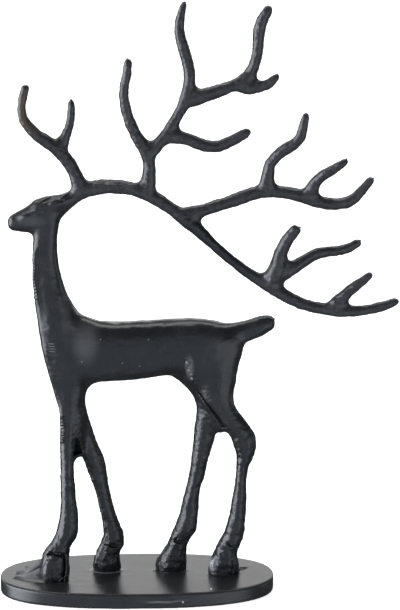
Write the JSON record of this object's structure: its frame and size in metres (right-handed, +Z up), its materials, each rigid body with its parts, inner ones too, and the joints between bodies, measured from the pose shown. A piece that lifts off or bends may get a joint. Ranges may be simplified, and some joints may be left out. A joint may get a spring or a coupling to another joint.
{
  "type": "stag statue",
  "caption": "Slender cast iron stag with a branching flat antler tree, standing on an oval base plate, as a shelf or table ornament.",
  "frame": {"origin": "centre of the base plate's underside", "axes": "+Z up, -X the way the stag faces, -Y towards the side that the picture shows"},
  "size_m": [0.26, 0.0802, 0.3888],
  "materials": {
    "stag_iron": "satin black, lumpy as cast, bright on worn edges",
    "plate_iron": "satin black, smooth, with fine scratches"
  },
  "bodies": {
    "root": {"stag": "stag_iron", "base_plate": "plate_iron"}
  },
  "joints": []
}
